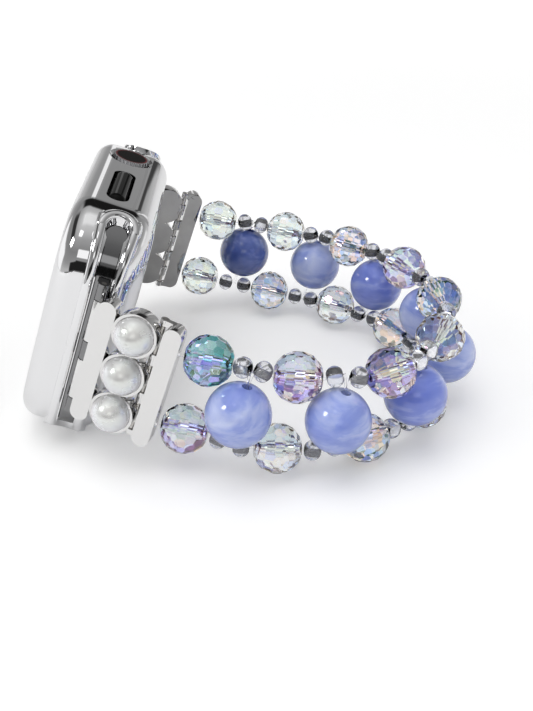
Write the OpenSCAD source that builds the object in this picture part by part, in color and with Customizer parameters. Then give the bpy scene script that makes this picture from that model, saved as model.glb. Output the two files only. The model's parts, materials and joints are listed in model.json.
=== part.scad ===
// Beaded watch bracelet: a chrome-plated watch cover with its watch, two cast pearl links
// and a two-row net of faceted crystals, agate beads and seed beads on elastic cord.
// The bracelet stands as it is laid down: on the lower long side of the watch and on the
// lowest crystals. Lengths are in millimetres and angles in degrees.

/* [Watch cover] */
// Length of the cover, from the 6 o'clock end to the 12 o'clock end
cover_l = 44; // [42:0.5:48]
// Width of the cover, from the plain side to the crown side
cover_w = 38.4; // [36:0.2:42]
// Thickness of the cover
cover_t = 12.9; // [12.2:0.1:14]
// Radius of the four corners of the cover
corner_r = 9.5; // [8:0.25:11]
// Rounding of the cover's edge on the display side
front_edge_r = 3; // [2.6:0.1:4]
// Rounding of the cover's edge on the wrist side
back_edge_r = 4; // [3.4:0.1:4.6]
// Wall of the cover
wall = 1.2; // [1:0.05:1.4]
// Width of the lip that the cover folds over the display's edge
front_lip = 3.2; // [2.8:0.1:4]
// Width of the cover's rim round the open back
back_lip = 4.4; // [4.2:0.1:5]
// Depth of the back face below the plane of the end bars
back_drop = 3.4; // [3:0.1:3.8]
// Height of the raised rim round the strap slots
rim_h = 0.8; // [0.4:0.05:0.9]
// Width of the raised rim round the strap slots
rim_w = 1.6; // [1:0.1:1.8]

/* [Watch] */
// Gap between the watch and the cover all round
watch_gap = 0.1; // [0.05:0.01:0.15]
// Thickness of the display glass
glass_t = 1; // [0.8:0.1:1.4]
// Border of metal round the display glass
glass_border = 2; // [1.6:0.1:2.4]
// Distance between the back crystal and the release buttons
back_crystal_gap = 1.5; // [1:0.1:3]
// Height of the back crystal's dome
back_crystal_rise = 1.9; // [1.4:0.1:2.2]
// Radius of the strap slot's round bottom
slot_r = 1.75; // [1.6:0.05:1.9]
// Width of the strap slot's mouth
slot_mouth = 2.5; // [2.3:0.1:2.7]
// Depth of the strap slot below the cover's end
slot_depth = 5; // [4.8:0.1:5.2]
// Distance of the strap slot from the plane of the end bars, towards the display
slot_rise = 2; // [1.8:0.05:2.2]

/* [Crown and buttons] */
// Diameter of the crown
crown_d = 6.1; // [5.6:0.1:6.4]
// Distance of the crown from the middle of the watch, towards 12 o'clock
crown_y = 9.5; // [8:0.25:10]
// Distance of the crown and the side button from the plane of the end bars
crown_rise = 3.5; // [3.2:0.1:3.9]
// Number of grooves round the crown
crown_grooves = 30; // [20:1:36]
// How far the crown stands out of the cover
crown_out = 0.3; // [0.1:0.05:0.6]
// Travel of the crown, the side button and the release buttons when pressed
press_travel = 0.3; // [0.2:0.05:0.4]
// Length of the side button
button_l = 13; // [10:0.5:13.5]
// Width of the side button
button_w = 3.2; // [2.6:0.1:3.4]
// Distance of the side button from the middle of the watch, towards 6 o'clock
button_y = 4.6; // [4.4:0.1:5]
// How far the side button's dome stands out of the cover
button_out = 0.5; // [0.2:0.05:0.7]
// Length of a release button
release_l = 8; // [6:0.5:10]
// Width of a release button
release_w = 2.2; // [1.8:0.1:2.4]

/* [Links] */
// Width of the links and their bars across the strap
link_w = 20.4; // [19.6:0.2:22]
// Width of each bar
bar_w = 2.8; // [2.6:0.1:2.9]
// Thickness of each bar
bar_t = 2.7; // [2.5:0.1:3]
// Distance between the two bars of a link
bar_pitch = 10.04; // [9.96:0.02:10.5]
// Distance of the lug hinge from the cover's end
lug_gap = 1.05; // [1:0.01:1.15]
// Distance between the pearls of a link
pearl_pitch = 6.76; // [6.7:0.02:6.9]
// Diameter of a pearl
pearl_d = 5.86; // [5.4:0.02:5.9]
// Outer diameter of a pearl cup
cup_d = 6.84; // [6.8:0.02:6.9]
// Diameter of the hinge pins
pin_d = 0.8; // [0.7:0.05:0.9]

/* [Beads] */
// Number of crystals in each row
crystals = 9; // [7:2:11]
// Diameter of a crystal
crystal_d = 7.6; // [7.2:0.1:7.8]
// Length of a crystal along its bore
crystal_l = 7; // [6.6:0.1:7.2]
// Distance between two crystals of a row
bead_pitch = 13.8; // [13.7:0.05:14.4]
// Half of the distance between the two rows
row_half = 6.25; // [6.2:0.05:6.6]
// Diameter of an agate bead
agate_d = 9.8; // [9:0.1:9.9]
// How far the agate beads sit outside the rows, at least
agate_out = 2.1; // [1.9:0.05:2.4]
// Gap between an agate bead and the crystals it lies between
bead_gap = 0.12; // [0.08:0.02:0.3]
// Diameter of a seed bead
seed_d = 3.2; // [2.8:0.05:3.3]
// Length of a seed bead
seed_l = 2.4; // [2:0.05:2.5]
// Side of the seed beads' square holes
seed_hole = 1.25; // [1.1:0.05:1.3]
// Diameter of the bores of the crystals
crystal_bore = 1.2; // [1.1:0.05:1.3]
// Diameter of the bores of the agate beads
agate_bore = 1.5; // [1.4:0.05:1.7]
// Diameter of the elastic cord
cord_d = 0.46; // [0.4:0.02:0.5]

/* [Lie of the strap] */
// Heading of the first step of the net, seen along the wrist
first_heading = -12.9; // [-16:0.1:-8]
// How far the net turns from its first step to its last
net_turn = 181.85; // [178:0.05:186]
// Extra turn in the middle of the net
net_bulge = 14.6; // [10:0.1:18]
// Difference between the near half and the far half of the net
net_skew = -6.3; // [-8:0.1:0]
// Angle between the watch and the net where it lies flat
fold_angle = 18.5; // [12:0.5:22]
// Length over which the strap bends from the one to the other
bend_l = 24; // [18:0.5:30]
// Lean of the beads at the far end of the loop
middle_lean = 6; // [4:0.1:8]
// How far the net puckers, as a part of what the photographed one does
pucker = 1; // [0:0.1:1]

/* [Hidden] */
$fn = 64;
NEAR = -1;
FAR = 1;
TOP = 1;
BOTTOM = -1;
eps = 0.01;
chrome = [0.82, 0.83, 0.85];
pewter = [0.55, 0.56, 0.58];

// Watch sizes
cover_front = cover_t - back_drop;
housing_inset = wall + watch_gap;
housing_back = wall + watch_gap - back_drop;
housing_front = cover_front - wall - watch_gap;
side_face = cover_w / 2 - housing_inset;
slot_y = cover_l / 2 - slot_depth + slot_r;
slot_fit = 0.1;
insert_sink = 0.25;
recess_gap = 0.05;
part_gap = 0.15;
crown_base = side_face + press_travel + 0.05;
crown_top = cover_w / 2 + crown_out;
crown_bore_gap = 0.2;
stem_r = 0.8;
stem_gap = 0.05;
stem_nose = 0.6;
stem_l = 3.2;
lens_r = crown_d / 2 - 0.35;
lens_t = 0.3;
ring_w = 0.22;
groove_r = 0.16;
button_skirt = 0.8;
button_t = button_w / 2 + button_skirt;
button_top = cover_w / 2 + button_out;
release_t = 1.1;
release_y = slot_y - slot_r - 1.9;
back_crystal_r = release_y - release_w / 2 - back_crystal_gap;

// Link sizes, in a frame whose x runs along the link and whose y points out of the loop
lug_x = -1.8;
lug_y = cover_l / 2 + lug_gap;
barrel_r = 0.85;
link_barrel_r = 0.65;
pin_gap = 0.04;
bar_1_x = 2.3;
bar_2_x = bar_1_x + bar_pitch;
bar_y = 1.61;
bar_in = 1.3;
bar_back = bar_y - bar_in;
plate_t = 0.7;
pearl_x = bar_1_x + bar_w / 2 + cup_d / 2 - 0.1;
pearl_y = bar_y + 1.27;
pocket_gap = 0.05;
pocket_floor = bar_back + plate_t;
cup_top = bar_y + 1.35;
link_pin_x = pearl_x + cup_d / 2 - 0.29;
link_pin_y = bar_back + 0.35;
knuckle_gap = 0.15;
lug_knuckle_l = 2.6;
lug_knuckle_end = link_w / 2 + 1;
mid_knuckle_l = 3;
link_arm = norm([bar_2_x, bar_y]);
link_arm_angle = atan2(bar_y, bar_2_x);
cord_hole_d = 1;
cord_hole_l = 2;

// Net: headings of the steps, the first and the last being the cords that leave the end bars
columns = crystals;
gaps = crystals - 1;
lead_l = bar_w / 2 + crystal_l / 2 + 0.85;
lead_heading_6 = 2;
lead_heading_12 = 174;
function share(i) = i / (gaps - 1);
function gap_heading(i) = first_heading + net_turn * share(i)
    + net_bulge * sin(180 * share(i)) + net_skew * sin(360 * share(i));
headings = concat([lead_heading_6], [for (i = [0:gaps - 1]) gap_heading(i)], [lead_heading_12]);
function flat(a) = [cos(a), sin(a)];
function step(i) = (i == 0 || i == columns ? lead_l : bead_pitch) * flat(headings[i]);
function sum_steps(n) = n == 0 ? [0, 0] : sum_steps(n - 1) + step(n - 1);

// The two links close the loop between the lug hinges and the net
closing = [0, 2 * lug_y] - sum_steps(columns + 1);
closing_angle = atan2(closing[1], closing[0]);
closing_half = acos(min(1, norm(closing) / (2 * link_arm)));
arm_low = closing_angle - closing_half;
arm_high = closing_angle + closing_half;
arm_6 = cos(arm_high) > cos(arm_low) ? arm_high : arm_low;
arm_12 = cos(arm_high) > cos(arm_low) ? arm_low : arm_high;
link_heading_6 = arm_6 + link_arm_angle;
link_heading_12 = arm_12 + 180 - link_arm_angle;
net_start = [lug_x, -lug_y] + link_arm * flat(arm_6);
function column(i) = net_start + sum_steps(i + 1);

// The strap leaves the watch in the plane of the links and bends down to lie flat
fold_start = bar_pitch;
fold_end = fold_start + bend_l;
bend_r = bend_l / (fold_angle * PI / 180);
fold_drop = fold_start * sin(fold_angle) + bend_r * (1 - cos(fold_angle));
function slope(x) = fold_angle * (1 - min(1, max(0, (x - fold_start) / bend_l)));
function lay_x(x) = min(x, fold_start) * cos(fold_angle)
    + bend_r * (sin(fold_angle) - sin(slope(x))) + max(0, x - fold_end);
function lay_z(x) = x < fold_start ? fold_drop - x * sin(fold_angle) : bend_r * (1 - cos(slope(x)));
function lean(i) = middle_lean
    + (fold_angle - middle_lean) * pow((i - (columns - 1) / 2) / ((columns - 1) / 2), 2);
function lean_dir(i) = [sin(lean(i)), 0, cos(lean(i))];
function unit(v) = v / norm(v);
function mid(i) = [lay_x(column(i)[0]), column(i)[1], lay_z(column(i)[0])];
top_pucker = [0.3, -1.2, 1.1, 0.2, -0.6, -0.3, 0.3, 1.7, 0];
bottom_pucker = [0, -1, -0.6, 0, 0, 0.2, 0.1, 0.4, 0];
function pucker_of(i, row) = pucker * (row == TOP ? top_pucker[i] : bottom_pucker[i]);
function centre(i, row) = mid(i) + row * row_half * lean_dir(i)
    + pucker_of(i, row) * [sin(column_heading(i)), -cos(column_heading(i)), 0];
function column_heading(i) = (headings[i] + headings[i + 1]) / 2;
function row_step(i, row) = unit(centre(i + 1, row) - centre(i, row));
function bore_dir(i, row) = unit(row_step(max(i - 1, 0), row) + row_step(min(i, gaps - 1), row));
function bore_end(i, row, side) = centre(i, row) + side * crystal_l / 2 * bore_dir(i, row);
function cord_exit(i, row, side) = bore_end(i, row, side) + side * 0.15 * bore_dir(i, row);

// In each gap between two columns an agate bead stands outside the rows
function chord(i) = unit(mid(i + 1) - mid(i));
function gap_lean(i) = (lean(i) + lean(i + 1)) / 2;
function gap_up(i) = [sin(gap_lean(i)), 0, cos(gap_lean(i))];
function outward(i) = unit(cross(chord(i), gap_up(i)));
function gap_middle(i) = (mid(i) + mid(i + 1)) / 2;
function clear_out(v, out, touch) = let (along = v * out, beside = v * v - along * along)
    touch * touch > beside ? along + sqrt(touch * touch - beside) : 0;
function agate_at(i) = gap_middle(i) + outward(i) * max(concat([agate_out],
    [for (j = [i, i + 1], row = [TOP, BOTTOM]) clear_out(centre(j, row) - gap_middle(i), outward(i),
        (agate_d + crystal_d) / 2 + bead_gap)]));
cord_offset = 0.3;
seed_out = 1;
seed_rise = 0.55;
seed_shift = 0.12;
function apex(i, row) = (centre(i, row) + centre(i + 1, row)) / 2
    + seed_out * outward(i) + row * seed_rise * gap_up(i);
function strand(i, row) = (i % 2 == 0) == (row == TOP) ? 1 : -1;
function strand_apex(i, row, side, s) = apex(i, row)
    + cord_offset * (side * chord(i) + s * outward(i));

// The whole stands on the cover's lower wrist-side edge and on the lowest crystal
edge_centre = [cover_w / 2 - back_edge_r, back_drop - back_edge_r];
function from_watch(x, z) = [
    x * cos(fold_angle) + z * sin(fold_angle),
    fold_drop - x * sin(fold_angle) + z * cos(fold_angle)
];
edge_at = from_watch(edge_centre[1], -edge_centre[0]);
function tilt_to(p, r) = let (d = p - edge_at)
    atan2(d[1], d[0]) + asin((back_edge_r - r) / norm(d));
lay_tilt = min([for (i = [0:columns - 1]) let (c = centre(i, BOTTOM))
    tilt_to([c[0], c[2]], crystal_d / 2)]);
function tilted(p) = [p[0] * cos(lay_tilt) + p[2] * sin(lay_tilt), p[1],
    p[2] * cos(lay_tilt) - p[0] * sin(lay_tilt)];
edge_low = tilted([edge_at[0], 0, edge_at[1]]);
lift = back_edge_r - edge_low[2];
front_centre = from_watch(front_edge_r - cover_front, front_edge_r - cover_w / 2);
low_x = tilted([front_centre[0], 0, front_centre[1]])[0] - front_edge_r;
high_x = max([for (i = [0:gaps - 1]) tilted(agate_at(i))[0] + agate_d / 2]);
low_y = min([for (i = [0:gaps - 1]) agate_at(i)[1] - agate_d / 2]);
high_y = max([for (i = [0:gaps - 1]) agate_at(i)[1] + agate_d / 2]);
origin = [(low_x + high_x) / 2, (low_y + high_y) / 2, -lift];

// Frames: the lying strap, the watch with its bars' plane, and a link
module lying() {
    translate(-origin) rotate([0, lay_tilt, 0]) children();
}

module strap_end() {
    lying() translate([0, 0, fold_drop]) rotate([0, fold_angle, 0]) children();
}

module watch() {
    strap_end() rotate([0, -90, 0]) children();
}

module link(end) {
    heading = end == NEAR ? link_heading_6 : -link_heading_12;
    strap_end() scale_end(end) translate([lug_x, -lug_y, 0]) rotate([0, 0, heading])
        mirror([0, 1, 0]) children();
}

module scale_end(end) {
    if (end == NEAR) children();
    else mirror([0, 1, 0]) children();
}

// Rounded body of the watch, made of a core, four sides and four corners
module edge_profile(reach, low, high, front_r, back_r) {
    translate([0, low + back_r]) square([reach, high - low - back_r - front_r]);
    translate([0, low]) square([reach - back_r, high - low - front_r]);
    translate([0, low + back_r]) square([reach - front_r, high - low - back_r]);
    translate([reach - front_r, high - front_r]) circle(front_r);
    translate([reach - back_r, low + back_r]) circle(back_r);
}

module watch_body(inset, low, high) {
    r = corner_r - inset;
    x = cover_w / 2 - corner_r;
    y = cover_l / 2 - corner_r;
    front_r = front_edge_r - inset;
    back_r = back_edge_r - inset;
    translate([-x, -y, low]) cube([2 * x, 2 * y, high - low]);
    for (side = [0, 180]) rotate([0, 0, side]) {
        translate([x, y, 0]) rotate([90, 0, 0]) linear_extrude(2 * y)
            edge_profile(r, low, high, front_r, back_r);
        translate([-x, y, 0]) rotate([90, 0, 90]) linear_extrude(2 * x)
            edge_profile(r, low, high, front_r, back_r);
        translate([x, y, 0]) rotate_extrude(angle = 90)
            edge_profile(r, low, high, front_r, back_r);
        translate([-x, y, 0]) rotate([0, 0, 90]) rotate_extrude(angle = 90)
            edge_profile(r, low, high, front_r, back_r);
    }
}

module rounded_plate(w, l, r) {
    square([w - 2 * r, l], center = true);
    square([w, l - 2 * r], center = true);
    for (x = [-1, 1], y = [-1, 1]) translate([x * (w / 2 - r), y * (l / 2 - r)]) circle(r);
}

// Cross-section of the strap slots, across the watch's width
module slot_profile(grow) {
    translate([slot_y, slot_rise]) circle(slot_r + grow);
    translate([slot_y, slot_rise - slot_mouth / 2 - grow])
        square([cover_l / 2 - slot_y + 2, slot_mouth + 2 * grow]);
}

module slot_bars(grow, half_l) {
    for (turn = [0, 180]) rotate([0, 0, turn])
        rotate([90, 0, 90]) translate([0, 0, -half_l]) linear_extrude(2 * half_l)
            slot_profile(grow);
}

module pill(l, w, h) {
    linear_extrude(h) {
        square([l - w, w], center = true);
        for (x = [-1, 1]) translate([x * (l - w) / 2, 0]) circle(w / 2);
    }
}

// Places a part on the crown side, with its z pointing out of the watch
module on_crown_side(y) {
    translate([0, y, crown_rise]) rotate([0, 90, 0]) children();
}

module case_cover() {
    front_w = cover_w - 2 * front_lip;
    front_l = cover_l - 2 * front_lip;
    back_w = cover_w - 2 * back_lip;
    back_l = 2 * (slot_y - slot_r) - 1;
    color(chrome) watch() difference() {
        union() {
            watch_body(0, -back_drop, cover_front);
            intersection() {
                watch_body(-rim_h, -back_drop - rim_h, cover_front + rim_h);
                slot_bars(rim_w, cover_w);
            }
        }
        watch_body(wall, wall - back_drop, cover_front - wall);
        translate([0, 0, cover_front - wall - 1]) linear_extrude(wall + 2)
            rounded_plate(front_w, front_l, corner_r - front_lip);
        translate([0, 0, -back_drop - 1]) linear_extrude(wall + 2)
            rounded_plate(back_w, back_l, corner_r - back_lip);
        slot_bars(0, cover_w);
        on_crown_side(crown_y) {
            cylinder(h = cover_w, r = crown_d / 2 + crown_bore_gap);
            translate([0, 0, cover_w / 2 - 0.5])
                cylinder(h = 0.6, r1 = crown_d / 2 + crown_bore_gap, r2 = crown_d / 2 + 0.9);
        }
        on_crown_side(-button_y) rotate([0, 0, 90])
            pill(button_l + 2 * part_gap, button_w + 2 * part_gap, cover_w);
    }
}

module watch_housing() {
    glass_inset = housing_inset + glass_border;
    color(pewter) watch() difference() {
        watch_body(housing_inset, housing_back, housing_front);
        translate([0, 0, housing_front - glass_t]) linear_extrude(glass_t + 1)
            rounded_plate(cover_w - 2 * glass_inset, cover_l - 2 * glass_inset,
                corner_r - glass_inset);
        slot_bars(0, cover_w);
        translate([0, 0, housing_back - 1])
            cylinder(h = 1.4, r = back_crystal_r + recess_gap);
        on_crown_side(crown_y)
            translate([0, 0, crown_base - stem_l - 0.5]) cylinder(h = stem_l + 1, r = stem_r + stem_gap);
        on_crown_side(-button_y) translate([0, 0, button_top - button_t - press_travel - 0.05])
            rotate([0, 0, 90]) pill(button_l + 2 * part_gap, button_w + 2 * part_gap, button_t);
        for (y = [-release_y, release_y]) translate([0, y, housing_back - eps])
            pill(release_l + 2 * part_gap, release_w + 2 * part_gap, release_t + press_travel + 0.05);
    }
}

module display_glass() {
    inset = housing_inset + glass_border + recess_gap;
    color([0.03, 0.03, 0.04]) watch() translate([0, 0, housing_front - glass_t])
        linear_extrude(glass_t)
            rounded_plate(cover_w - 2 * inset, cover_l - 2 * inset, corner_r - inset);
}

module back_crystal() {
    r = back_crystal_r;
    dome_r = (r * r + back_crystal_rise * back_crystal_rise) / (2 * back_crystal_rise);
    top = housing_back + 0.4;
    color([0.05, 0.05, 0.06]) watch() {
        intersection() {
            translate([0, 0, top - 0.4 + dome_r - back_crystal_rise]) sphere(dome_r, $fn = 128);
            translate([0, 0, top - 4]) cylinder(h = 4, r = r);
        }
    }
}

module crown_stem() {
    color(pewter) watch() on_crown_side(crown_y) translate([0, 0, crown_base - stem_l])
        cylinder(h = stem_l + stem_nose, r = stem_r);
}

module crown() {
    color(chrome) watch() on_crown_side(crown_y) difference() {
        translate([0, 0, crown_base]) cylinder(h = crown_top - crown_base, r = crown_d / 2);
        translate([0, 0, crown_base - eps])
            cylinder(h = stem_nose + 0.1, r = stem_r + stem_gap);
        translate([0, 0, crown_top - lens_t]) cylinder(h = 1, r = lens_r);
        for (i = [0:crown_grooves - 1]) rotate([0, 0, i * 360 / crown_grooves])
            translate([crown_d / 2, 0, crown_base - 1]) cylinder(h = 4, r = groove_r, $fn = 16);
    }
}

module crown_ring() {
    color([0.45, 0.05, 0.05]) watch() on_crown_side(crown_y)
        translate([0, 0, crown_top - lens_t]) difference() {
            cylinder(h = lens_t, r = lens_r);
            translate([0, 0, -1]) cylinder(h = 2, r = lens_r - ring_w);
        }
}

module crown_lens() {
    color([0.03, 0.03, 0.03]) watch() on_crown_side(crown_y)
        translate([0, 0, crown_top - lens_t]) cylinder(h = lens_t, r = lens_r - ring_w);
}

// Side button: a pill with a half-round top
module side_button() {
    r = button_w / 2;
    half = button_l / 2 - r;
    color(chrome) watch() on_crown_side(-button_y) translate([0, 0, button_top - button_t])
        rotate([0, 0, 90]) {
            pill(button_l, button_w, button_skirt);
            translate([0, 0, button_skirt]) {
                rotate([90, 0, 90]) translate([0, 0, -half]) linear_extrude(2 * half)
                    intersection() {
                        circle(r);
                        translate([-r, 0]) square([2 * r, r]);
                    }
                for (x = [-half, half]) translate([x, 0, 0]) rotate_extrude() intersection() {
                    circle(r);
                    square(r);
                }
            }
        }
}

module release_button(end) {
    color(pewter) watch() translate([0, end * release_y, housing_back])
        pill(release_l, release_w, release_t);
}

// Knuckle of a hinge, from z0 to z1, with the bore for its pin
module knuckle(x, y, r, z0, z1) {
    translate([x, y, z0]) cylinder(h = z1 - z0, r = r);
}

module pin_bore(x, y) {
    translate([x, y, -link_w]) cylinder(h = 2 * link_w, r = pin_d / 2 + pin_gap, $fn = 32);
}

// The insert fills the watch's slot and carries the three outer knuckles of the lug hinge
module lug_insert(end) {
    web_r = barrel_r - 0.05;
    turn = end == NEAR ? 180 : 0;
    color(chrome) {
        watch() intersection() {
            watch_body(insert_sink, insert_sink - back_drop, cover_front - insert_sink);
            rotate([0, 0, turn]) rotate([90, 0, 90]) translate([0, 0, -cover_w]) linear_extrude(2 * cover_w)
                slot_profile(-slot_fit);
        }
        strap_end() scale_end(end) difference() {
            for (z0 = [-lug_knuckle_end, -mid_knuckle_l / 2, lug_knuckle_end - lug_knuckle_l]) {
                z1 = z0 == -mid_knuckle_l / 2 ? -z0 : z0 + lug_knuckle_l;
                knuckle(lug_x, -lug_y, barrel_r, z0, z1);
                translate([-slot_rise - web_r, -lug_y, z0])
                    cube([2 * web_r, lug_y - slot_y, z1 - z0]);
            }
            translate([lug_x, -lug_y, 0]) pin_bore(0, 0);
        }
    }
}

module lug_pin(end) {
    color(pewter) strap_end() scale_end(end) translate([lug_x, -lug_y, -lug_knuckle_end])
        cylinder(h = 2 * lug_knuckle_end, r = pin_d / 2, $fn = 32);
}

// A bar with half-round ends, lying across the strap
module bar_solid(x) {
    half = link_w / 2 - bar_w / 2;
    translate([x, bar_back, 0]) rotate([-90, 0, 0]) linear_extrude(bar_t) {
        square([bar_w, 2 * half], center = true);
        for (z = [-half, half]) translate([0, z]) circle(bar_w / 2);
    }
}

module cup(z) {
    translate([pearl_x, bar_back, z]) rotate([-90, 0, 0]) children();
}

// One casting: the first bar, three cups and the knuckles of both hinges
module pearl_setting(end) {
    inner = mid_knuckle_l / 2 + knuckle_gap;
    outer = lug_knuckle_end - lug_knuckle_l - knuckle_gap;
    web_w = barrel_r - 0.1;
    color(chrome) link(end) difference() {
        union() {
            bar_solid(bar_1_x);
            for (z = [-pearl_pitch, 0, pearl_pitch]) {
                cup(z) cylinder(h = cup_top - bar_back, r = cup_d / 2);
                knuckle(link_pin_x, link_pin_y, link_barrel_r, z - 1, z + 1);
            }
            for (z0 = [-outer, inner]) {
                knuckle(0, 0, barrel_r, z0, z0 + outer - inner);
                translate([0, 0.05, z0]) cube([bar_1_x, web_w, outer - inner]);
            }
        }
        for (z = [-pearl_pitch, 0, pearl_pitch]) cup(z) translate([0, 0, plate_t])
            cylinder(h = 5, r = pearl_d / 2 + pocket_gap);
        pin_bore(0, 0);
        pin_bore(link_pin_x, link_pin_y);
    }
}

module pearls(end) {
    color([0.93, 0.92, 0.9]) link(end) for (z = [-pearl_pitch, 0, pearl_pitch])
        translate([pearl_x, pearl_y, z]) rotate([-90, 0, 0]) rotate_extrude($fn = 96) intersection() {
            circle(pearl_d / 2);
            translate([0, pocket_floor - pearl_y]) square([pearl_d, pearl_d]);
        }
}

// The second bar hangs on the link pin between the cups and holds the cord ends
module end_bar(end) {
    mid_z = pearl_pitch / 2;
    end_z = link_w / 2 - 0.5;
    color(chrome) link(end) difference() {
        union() {
            bar_solid(bar_2_x);
            for (z = [-end_z, -mid_z, mid_z, end_z]) {
                half = abs(z) == end_z ? 0.45 : 0.9;
                knuckle(link_pin_x, link_pin_y, link_barrel_r, z - half, z + half);
                translate([link_pin_x, link_pin_y - 0.3, z - half])
                    cube([bar_2_x - link_pin_x, 0.9, 2 * half]);
            }
        }
        pin_bore(link_pin_x, link_pin_y);
        for (z = [-row_half, row_half])
            translate([bar_2_x + bar_w / 2 - cord_hole_l, bar_y, z]) rotate([0, 90, 0])
                cylinder(h = cord_hole_l + 1, r = cord_hole_d / 2, $fn = 32);
    }
}

module link_pin(end) {
    half = link_w / 2 - 0.1;
    color(pewter) link(end) translate([link_pin_x, link_pin_y, -half])
        cylinder(h = 2 * half, r = pin_d / 2, $fn = 32);
}

// Faceted crystal: rings of flat facets that touch one ball, drilled along z
module facet_ring(latitude, count, turn) {
    ball = crystal_d / 2 * cos(15);
    reach = crystal_l;
    r_low = (ball + reach * sin(latitude)) / cos(latitude) / cos(180 / count);
    top = min(reach, ball / sin(latitude) - 0.2);
    r_top = (ball - top * sin(latitude)) / cos(latitude) / cos(180 / count);
    rotate([0, 0, turn]) translate([0, 0, -reach])
        cylinder(h = reach + top, r1 = r_low, r2 = r_top, $fn = count);
}

module crystal(i, row) {
    color([0.85, 0.88, 0.96]) lying() between(bore_end(i, row, -1), bore_end(i, row, 1))
        difference() {
            intersection() {
                cylinder(h = crystal_l, r = crystal_d / 2, center = true, $fn = 12);
                facet_ring(28, 12, 15);
                facet_ring(54, 8, 0);
                mirror([0, 0, 1]) facet_ring(28, 12, 15);
                mirror([0, 0, 1]) facet_ring(54, 8, 0);
            }
            cylinder(h = crystal_l + 1, r = crystal_bore / 2, center = true, $fn = 24);
        }
}

module agate(i) {
    color([0.45, 0.52, 0.85]) lying() translate(agate_at(i)) rotate([0, gap_lean(i), 0])
        difference() {
            sphere(agate_d / 2);
            cylinder(h = agate_d + 1, r = agate_bore / 2, center = true, $fn = 32);
        }
}

// Seed bead: a barrel with a square hole, drilled along z
module seed() {
    end_r = seed_d / 4;
    half = seed_l / 2;
    r = seed_d / 2;
    c = (r * r - end_r * end_r - half * half) / (2 * (r - end_r));
    difference() {
        rotate_extrude() intersection() {
            translate([c, 0]) circle(r - c);
            translate([0, -half]) square([seed_d, seed_l]);
        }
        cube([seed_hole, seed_hole, seed_l + 1], center = true);
    }
}

// Places a part half way from p to q, with its z pointing at q
module between(p, q) {
    d = q - p;
    translate((p + q) / 2) rotate([0, acos(d[2] / norm(d)), atan2(d[1], d[0])]) children();
}

module seeds(i) {
    color([0.8, 0.82, 0.86]) lying() for (row = [TOP, BOTTOM]) {
        between(cord_exit(i, row, 1), strand_apex(i, row, -1, strand(i, row)))
            translate([0, 0, seed_shift]) seed();
        between(strand_apex(i, row, 1, -strand(i, row)), cord_exit(i + 1, row, -1))
            translate([0, 0, -seed_shift]) seed();
    }
}

// Elastic cord: it runs through a crystal and a seed bead of one row, crosses inside the agate
// bead to the other row, and so on from one end bar to the other
cord_sides = 8;
function link_point(end, x, z) = let (
        a = end == NEAR ? link_heading_6 : link_heading_12,
        side = end == NEAR ? -90 : 90,
        p = [lug_x, end * lug_y] + x * flat(a) + bar_y * flat(a + side),
        q = from_watch(p[0], z)
    ) [q[0], p[1], q[1]];
function cord_gap(i, row, side) = let (shift = cord_offset * side * outward(i)) [
    strand_apex(i, row, -1, side),
    agate_at(i) + row * agate_d / 2 * gap_up(i) + shift,
    agate_at(i) - row * agate_d / 2 * gap_up(i) + shift,
    strand_apex(i, -row, 1, side)
];
hole_end = bar_2_x + bar_w / 2;
function cord_points(first, side) = concat(
    [for (x = [hole_end - cord_hole_l + 0.05, hole_end]) link_point(NEAR, x, first * row_half)],
    [for (i = [0:gaps - 1]) let (row = i % 2 == 0 ? first : -first)
        each concat([cord_exit(i, row, -1), cord_exit(i, row, 1)], cord_gap(i, row, side))],
    [for (s = [-1, 1]) cord_exit(gaps, gaps % 2 == 0 ? first : -first, s)],
    [for (x = [hole_end, hole_end - cord_hole_l + 0.05])
        link_point(FAR, x, (gaps % 2 == 0 ? first : -first) * row_half)]
);
function cord_normals() = concat(
    [outward(0), outward(0)],
    [for (i = [0:gaps - 1], k = [0:5]) outward(i)],
    [for (k = [0:3]) outward(gaps - 1)]
);
function tangent(p, k) = unit(
    (k < len(p) - 1 ? unit(p[k + 1] - p[k]) : [0, 0, 0]) + (k > 0 ? unit(p[k] - p[k - 1]) : [0, 0, 0]));

module cord(first, side) {
    p = cord_points(first, side);
    n = cord_normals();
    points = [for (k = [0:len(p) - 1]) let (
            t = tangent(p, k),
            a = unit(n[k] - (n[k] * t) * t),
            b = cross(t, a)
        ) for (j = [0:cord_sides - 1]) let (w = 360 * j / cord_sides)
            p[k] + cord_d / 2 * (cos(w) * a + sin(w) * b)];
    last = len(p) - 1;
    faces = concat(
        [[for (j = [0:cord_sides - 1]) j]],
        [for (k = [0:last - 1], j = [0:cord_sides - 1]) let (
                m = k * cord_sides,
                q = (j + 1) % cord_sides
            ) each [[m + j, m + cord_sides + j, m + q], [m + q, m + cord_sides + j, m + cord_sides + q]]],
        [[for (j = [cord_sides - 1:-1:0]) last * cord_sides + j]]
    );
    color([0.9, 0.9, 0.92]) lying() polyhedron(points, faces);
}

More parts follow.
